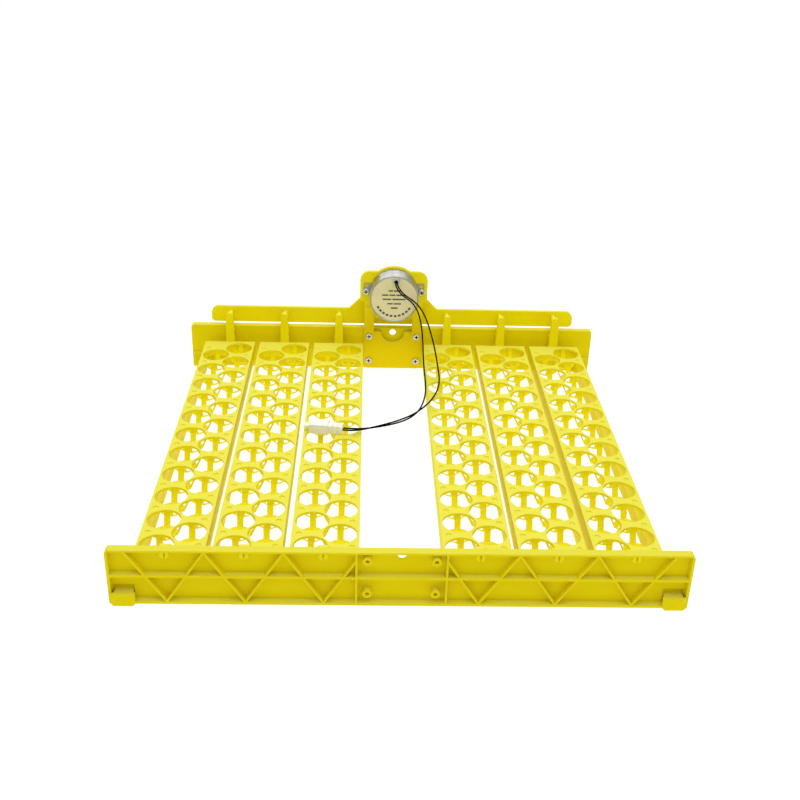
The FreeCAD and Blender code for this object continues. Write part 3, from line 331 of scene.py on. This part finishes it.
# The bracket turns paler on its higher part: painted light.
AMBER = moulded_plastic("yellow_bracket", (0.82, 0.64, 0.003), (0.79, 0.60, 0.002),
                        (0.88, 0.76, 0.05), (0.82, 0.70, 0.06), lit_top_colour=(0.93, 0.81, 0.012))
CAN_STEEL = drawn_steel("can_steel", (0.47, 0.48, 0.46), 0.32, (1, 0.05, 1))
SCREW_ZINC = drawn_steel("screw_zinc", (0.74, 0.76, 0.78), 0.24, (1, 1, 1), 900)
# Near-black steel for the blocks in the screw recesses: painted shade.
RECESS_SHADE = drawn_steel("painted_recess_shade", (0.030, 0.032, 0.036), 0.5, (1, 1, 1), 900)
AXLE_STEEL = drawn_steel("axle_steel", (0.60, 0.60, 0.60), 0.22, (1, 0.1, 1), 500)
BRASS = drawn_steel("contact_brass", (0.80, 0.60, 0.30), 0.26, (0.2, 1, 1), 600)
COPPER = drawn_steel("copper_wire", (0.72, 0.32, 0.14), 0.32, (1, 12, 1), 200)
MAGNET = drawn_steel("magnet", (0.16, 0.16, 0.17), 0.5, (1, 1, 1), 400)
LABEL = printed_label("label_cream")
INK = ink("label_ink")
BLACK = wire_insulation("black_insulation")
NYLON = milky_nylon("grommet_nylon", (0.62, 0.62, 0.58), (0.55, 0.55, 0.50), 0.05)
CLEAR_NYLON = milky_nylon("connector_nylon", (1.0, 0.95, 0.84), (0.99, 0.92, 0.78), 0.02)


def dress(material, *nodes):
    """Give CAD nodes a material."""
    for node in nodes:
        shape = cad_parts[node]
        shape.data.materials.clear()
        shape.data.materials.append(material)


# ---------------------------------------------------------------- mesh helpers

def new_piece(name, mesh_data, material, body, smooth=True):
    """A mesh object with its material, body and finish."""
    piece = bpy.data.objects.new(name, mesh_data)
    bpy.context.collection.objects.link(piece)
    mesh_data.materials.append(material)
    if smooth:
        mesh_data.polygons.foreach_set("use_smooth", [True] * len(mesh_data.polygons))
    if body:
        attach(piece, body)
    return piece


def lathe(name, profile, centre, steps=96):
    """A solid turned about an axis along Y; the profile is (radius, distance along Y) pairs."""
    shape = bmesh.new()
    rings = []
    for radius, distance in profile:
        if radius == 0:
            rings.append([shape.verts.new(centre + Vector((0, distance, 0)))])
            continue
        rings.append([shape.verts.new(centre + Vector((radius * math.cos(math.tau * step / steps),
                                                       distance,
                                                       radius * math.sin(math.tau * step / steps))))
                      for step in range(steps)])
    for near, far in zip(rings, rings[1:]):
        for step in range(steps):
            after = (step + 1) % steps
            corners = [near[step % len(near)], near[after % len(near)],
                       far[after % len(far)], far[step % len(far)]]
            distinct = list(dict.fromkeys(corners))
            if len(distinct) > 2:
                shape.faces.new(distinct)
    bmesh.ops.recalc_face_normals(shape, faces=shape.faces)
    mesh_data = bpy.data.meshes.new(name)
    shape.to_mesh(mesh_data)
    shape.free()
    return mesh_data


def arc_points(centre, radius, start, end, steps):
    """Points of an arc in the profile plane, between two angles in degrees."""
    points = []
    for step in range(steps + 1):
        angle = math.radians(start + (end - start) * step / steps)
        points.append((centre[0] + radius * math.cos(angle), centre[1] + radius * math.sin(angle)))
    return points


def bevelled_block(shape, low, high, radius, steps=3):
    """A box with rounded edges, added to a bmesh."""
    made = bmesh.ops.create_cube(shape, size=1)["verts"]
    for vertex in made:
        for axis in range(3):
            vertex.co[axis] = high[axis] if vertex.co[axis] > 0 else low[axis]
    edges = list({edge for vertex in made for edge in vertex.link_edges})
    bmesh.ops.bevel(shape, geom=edges, offset=radius, segments=steps, profile=0.5, affect="EDGES")


def tube(name, line, radius, sides=14):
    """A closed round tube along a line of points, its ring carried from point to point."""
    shape = bmesh.new()
    across = (line[1] - line[0]).orthogonal().normalized()
    rings = []
    for number, spot in enumerate(line):
        ahead = line[min(number + 1, len(line) - 1)]
        behind = line[max(number - 1, 0)]
        heading = (ahead - behind).normalized()
        across = (across - heading * across.dot(heading)).normalized()
        other = heading.cross(across)
        rings.append([shape.verts.new(spot + (across * math.cos(math.tau * side / sides)
                                              + other * math.sin(math.tau * side / sides)) * radius)
                      for side in range(sides)])
    for near, far in zip(rings, rings[1:]):
        for side in range(sides):
            after = (side + 1) % sides
            shape.faces.new((near[side], near[after], far[after], far[side]))
    shape.faces.new(list(reversed(rings[0])))
    shape.faces.new(rings[-1])
    bmesh.ops.recalc_face_normals(shape, faces=shape.faces)
    mesh_data = bpy.data.meshes.new(name)
    shape.to_mesh(mesh_data)
    shape.free()
    return mesh_data


def smooth_line(name, route):
    """The NURBS line of a route given in millimetres, as points in metres."""
    curve = bpy.data.curves.new(f"{name}_line", "CURVE")
    curve.dimensions = "3D"
    curve.resolution_u = 8
    spline = curve.splines.new("NURBS")
    spline.points.add(len(route) - 1)
    for point, spot in zip(spline.points, route):
        point.co = (*(value * MM for value in spot), 1)
    spline.order_u = 3
    spline.use_endpoint_u = True
    holder = bpy.data.objects.new(f"{name}_line", curve)
    bpy.context.collection.objects.link(holder)
    bpy.context.view_layer.update()
    mesh_data = bpy.data.meshes.new_from_object(holder)
    line = [vertex.co.copy() for vertex in mesh_data.vertices]
    bpy.data.objects.remove(holder)
    bpy.data.curves.remove(curve)
    bpy.data.meshes.remove(mesh_data)
    return line


# ---------------------------------------------------------------- wires and connector

WIRE = 1.5 * MM
# the control points of each wire, in millimetres, from the sleeve to the connector
WIRE_ROUTES = {
    "wire_1": ((0.65, 169.75, 109), (0.9, 162.3, 107.7), (5.2, 161.2, 101.4), (11, 163.5, 95.5),
               (17.3, 166.3, 90.3), (23.6, 167.6, 81), (27.3, 166, 70), (29.2, 161.5, 59.5),
               (30, 153, 49.5), (30.1, 141, 42.3), (30.1, 126, 38.4), (30.2, 107, 37),
               (30.3, 87, 37), (29.4, 66, 37), (26.2, 45.5, 37), (20.6, 26.5, 37),
               (10, 11, 37), (-5, 1.4, 37), (-19.5, -3.8, 36.8), (-30.5, -6.1, 36.6),
               (-39.5, -6.21, 36.5), (-47.405, -5.095, 36.5)),
    "wire_2": ((2.35, 169.75, 109), (2.7, 161.6, 108.4), (7.6, 160.4, 101.9), (12.6, 162.6, 96.9),
               (19, 165.3, 91.8), (26.2, 167.5, 84), (32, 167, 74), (36.4, 163, 63.5),
               (39.8, 154.5, 54), (41.8, 143.5, 47.6), (43.2, 129.5, 42.6), (43.9, 112, 39.8),
               (44, 92, 39.3), (41.6, 70.5, 39.3), (35.5, 50.5, 39.3), (27.2, 33.5, 39.3),
               (16, 17.5, 39.3), (3, 6, 39.3), (-10, -1.6, 39), (-22.5, -7.2, 38.4),
               (-31.5, -9.2, 37.2), (-39.99, -9.77, 36.5), (-47.906, -8.66, 36.5)),
}


def add_wires():
    """The two wires from the motor's sleeve to the connector, laid as fixed tubes across the
    tilting row.
    """
    for name, route in WIRE_ROUTES.items():
        line = smooth_line(name, route)
        skin = tube(name, line, WIRE / 2)
        piece = new_piece(f"{name}_insulation", skin, BLACK, None)
        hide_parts(name)
        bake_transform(piece)


def add_connector():
    """A rounded two-way housing with ribs, a latch and an open mouth, turned on its row."""
    shape = bmesh.new()
    turn = math.radians(-8)
    middle = Vector((-63.5, -4.65, 32.5)) * MM
    wall = 1.2
    tall, slim = 9.0, 8.0
    wide_half, slim_half = 6.2, 4.2
    end = -13.9
    parts = (
        ((end, -wide_half, 0), (3, wide_half, wall * 1.6), 0.6),
        ((end, -wide_half, tall - wall), (3, wide_half, tall), 0.5),
        ((end, -wide_half, wall * 0.8), (3, wall - wide_half, tall - wall * 0.4), 0.5),
        ((end, wide_half - wall, wall * 0.8), (3, wide_half, tall - wall * 0.4), 0.5),
        ((-2.6, -wide_half + 0.4, 0.5), (2.6, wide_half - 0.4, tall - 0.5), 0.4),
        ((2, -slim_half, 0), (16, slim_half, slim), 0.7),
        ((6.5, -slim_half - 0.35, 0), (7.7, slim_half + 0.35, slim + 0.35), 0.3),
        ((11.0, -slim_half - 0.35, 0), (12.2, slim_half + 0.35, slim + 0.35), 0.3),
        ((-19.8, -2.9, 4.9), (-2, 2.9, 6.1), 0.5),
    )
    for low, high, radius in parts:
        corners = [[value * MM for value in corner] for corner in (low, high)]
        bevelled_block(shape, *corners, radius * MM)
    for vertex in shape.verts:
        vertex.co.rotate(Matrix.Rotation(turn, 3, "Z"))
        vertex.co += middle
    mesh_data = bpy.data.meshes.new("connector_shell")
    shape.to_mesh(mesh_data)
    shape.free()
    piece = new_piece("connector_shell", mesh_data, CLEAR_NYLON, "row_3")
    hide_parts("connector_housing")
    return piece


def add_sleeve():
    """The black sleeve over both wires, round and tapering out of the grommet."""
    low, high = (Vector(corner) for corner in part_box("wire_sleeve"))
    centre = (low + high) / 2
    radius = (high.x - low.x) / 2
    depth = high.y - low.y
    back = depth / 2
    front = -depth / 2
    profile = [(0, back), (radius * 0.98, back), (radius, back - 0.2 * MM), (radius * 0.97, 0),
               (radius * 0.9, front + 0.3 * MM), (radius * 0.8, front), (0, front)]
    piece = new_piece("sleeve_black", lathe("sleeve_black", profile, centre, 48), BLACK, "frame")
    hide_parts("wire_sleeve")


def add_grommet():
    """The pale rectangular grommet with rounded edges, made of two rounded blocks."""
    low, high = (Vector(corner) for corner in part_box("wire_grommet"))
    can_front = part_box("motor_can")[0][1]
    shape = bmesh.new()
    stem_low = Vector((low.x + 1 * MM, low.y, low.z + 1 * MM))
    stem_high = Vector((high.x - 1 * MM, high.y - 0.5 * MM, high.z - 0.6 * MM))
    bevelled_block(shape, stem_low, stem_high, 0.5 * MM)
    bevelled_block(shape, Vector((low.x, can_front + 1.3 * MM, low.z)), high, 0.2 * MM)
    mesh_data = bpy.data.meshes.new("grommet_pale")
    shape.to_mesh(mesh_data)
    shape.free()
    piece = new_piece("grommet_pale", mesh_data, NYLON, "frame")
    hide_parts("wire_grommet")


# ---------------------------------------------------------------- motor

def add_can():
    """The drawn can: a rolled bright rim, a recessed face and a rounded shoulder at its base."""
    low, high = (Vector(corner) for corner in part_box("motor_can"))
    centre = Vector(((low.x + high.x) / 2, low.y, (low.z + high.z) / 2))
    radius = (high.x - low.x) / 2
    depth = high.y - low.y
    roll = 0.75 * MM
    face = 0.6 * MM
    profile = [(0, face), (radius - 2.2 * roll, face)]
    profile += arc_points((radius - roll, roll), roll, 200, 360, 12)
    profile += [(radius, depth * 0.3), (radius, depth * 0.62), (radius - 0.12 * MM, depth * 0.65),
                (radius, depth * 0.68), (radius, depth - 0.6 * MM)]
    profile += arc_points((radius - 0.6 * MM, depth - 0.6 * MM), 0.6 * MM, 0, 90, 6)
    inside = radius - 1.2 * MM
    behind = face + 0.7 * MM
    profile += [(inside, depth), (inside, behind), (0, behind)]
    piece = new_piece("can_drawn", lathe("can_drawn", profile, centre, 128), CAN_STEEL, "frame")
    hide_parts("motor_can")


# the label's bars in millimetres from its middle: a lower edge, then each bar's two ends
LABEL_BARS = ((8.2, ((-6, -1.5), (-0.5, 6))), (3.6, ((-12.5, -6), (-5, 1), (2, 12.5))),
              (-0.9, ((-12, -3), (-2, 11.5))), (-5.8, ((-7, -1.5), (-0.5, 7))))
BAR_TALL = 1.5
LAST_BAR = (-3.2, 3.6, -10.6, 1.7)
# the broken ring: first and last angle, one dash and its gap, and one dash, in degrees
RING_START, RING_END, RING_STEP, RING_DASH = 205, 335, 13, 8.5
RING_INNER, RING_OUTER = 17.6, 19.8


def add_label_print():
    """Plain bars and a broken ring on the label, where a maker's text would be."""
    low, high = (Vector(corner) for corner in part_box("motor_label"))
    centre = Vector(((low.x + high.x) / 2, low.y - 0.03 * MM, (low.z + high.z) / 2))
    thick = 0.05 * MM
    shape = bmesh.new()

    def bar(left, right, level, tall):
        """A thin upright bar between two sides, from a level up."""
        corners = ((left, level), (right, level), (right, level + tall), (left, level + tall))
        lift = [shape.verts.new(centre + Vector((across, 0, up)) * MM) for across, up in corners]
        sink = [shape.verts.new(vertex.co + Vector((0, thick, 0))) for vertex in lift]
        shape.faces.new(lift)
        shape.faces.new(list(reversed(sink)))
        for number in range(4):
            after = (number + 1) % 4
            shape.faces.new((lift[after], lift[number], sink[number], sink[after]))

    def arc_bar(start, end, inner, outer):
        """A thin bent bar between two angles and two radii."""
        steps = 5
        edge_in, edge_out = [], []
        for step in range(steps + 1):
            angle = math.radians(start + (end - start) * step / steps)
            aim = Vector((math.cos(angle), 0, math.sin(angle)))
            edge_in.append(centre + aim * inner * MM)
            edge_out.append(centre + aim * outer * MM)
        loop = edge_in + list(reversed(edge_out))
        lift = [shape.verts.new(spot) for spot in loop]
        sink = [shape.verts.new(spot + Vector((0, thick, 0))) for spot in loop]
        last = len(loop) - 1
        for step in range(steps):
            quad = (step, step + 1, last - step - 1, last - step)
            shape.faces.new([lift[corner] for corner in quad])
            shape.faces.new([sink[corner] for corner in reversed(quad)])
        for number in range(len(loop)):
            after = (number + 1) % len(loop)
            shape.faces.new((lift[after], lift[number], sink[number], sink[after]))

    for level, spans in LABEL_BARS:
        for left, right in spans:
            bar(left, right, level, BAR_TALL)
    bar(*LAST_BAR)
    for start in range(RING_START, RING_END, RING_STEP):
        arc_bar(start, start + RING_DASH, RING_INNER, RING_OUTER)
    bmesh.ops.recalc_face_normals(shape, faces=shape.faces)
    mesh_data = bpy.data.meshes.new("label_bars")
    shape.to_mesh(mesh_data)
    shape.free()
    new_piece("label_bars", mesh_data, INK, "frame", smooth=False)


# each screw's head in millimetres: its middle across and up, and the front of its dome
SCREW_HEADS = ((-25.1, 10.5, 193.45), (25.1, 10.5, 193.45), (-25.1, 39.1, 192.25),
               (25.1, 39.1, 192.25), (-29, 89.6, 192.45), (29, 89.6, 192.45))


def add_recess_shade_crosses():
    """A dark cross-shaped block in each screw's cross recess: painted shade where the recess lies
    in shadow.
    """
    half_width, half_length, depth, foot = 0.65, 2.1, 0.45, 1.35
    shape = bmesh.new()
    for across, up, front in SCREW_HEADS:
        for wide, tall in ((half_width, half_length), (half_length, half_width)):
            low = Vector((across - wide, front + depth, up - tall)) * MM
            high = Vector((across + wide, front + foot, up + tall)) * MM
            bevelled_block(shape, low, high, 0.05 * MM)
    mesh_data = bpy.data.meshes.new("screw_cross_shade")
    shape.to_mesh(mesh_data)
    shape.free()
    new_piece("screw_cross_shade", mesh_data, RECESS_SHADE, "frame", smooth=False)


# ---------------------------------------------------------------- the scene

def add_floor():
    """A large plain floor that the tray stands on."""
    bpy.ops.mesh.primitive_plane_add(size=12, location=(0, 0, -0.0002))
    floor = bpy.context.object
    floor.name = "floor"
    floor.data.materials.append(pale_floor())


add_camera()
add_light()
add_floor()
connector = add_connector()
add_wires()
add_sleeve()
add_grommet()
add_can()
add_label_print()
add_recess_shade_crosses()

dress(YELLOW, *ROWS, "push_bar", "crank_arm")
dress(PLATE_YELLOW_SHADED, "front_end_plate", "rear_end_plate", "side_rail_left", "side_rail_right")
dress(AMBER, "motor_bracket")
dress(CAN_STEEL, "motor_can", "motor_base")
dress(AXLE_STEEL, "output_shaft", "motor_axles")
dress(SCREW_ZINC, "bracket_screws", "motor_screws", "crank_screw")
dress(LABEL, "motor_label")
dress(NYLON, "coil_bobbin", "idler_gear", "wire_grommet")
dress(COPPER, "coil_winding")
dress(MAGNET, "motor_rotor")
dress(BLACK, "wire_1", "wire_2", "wire_sleeve")
dress(CLEAR_NYLON, "connector_housing")
dress(BRASS, "connector_contacts")

bpy.context.view_layer.update()
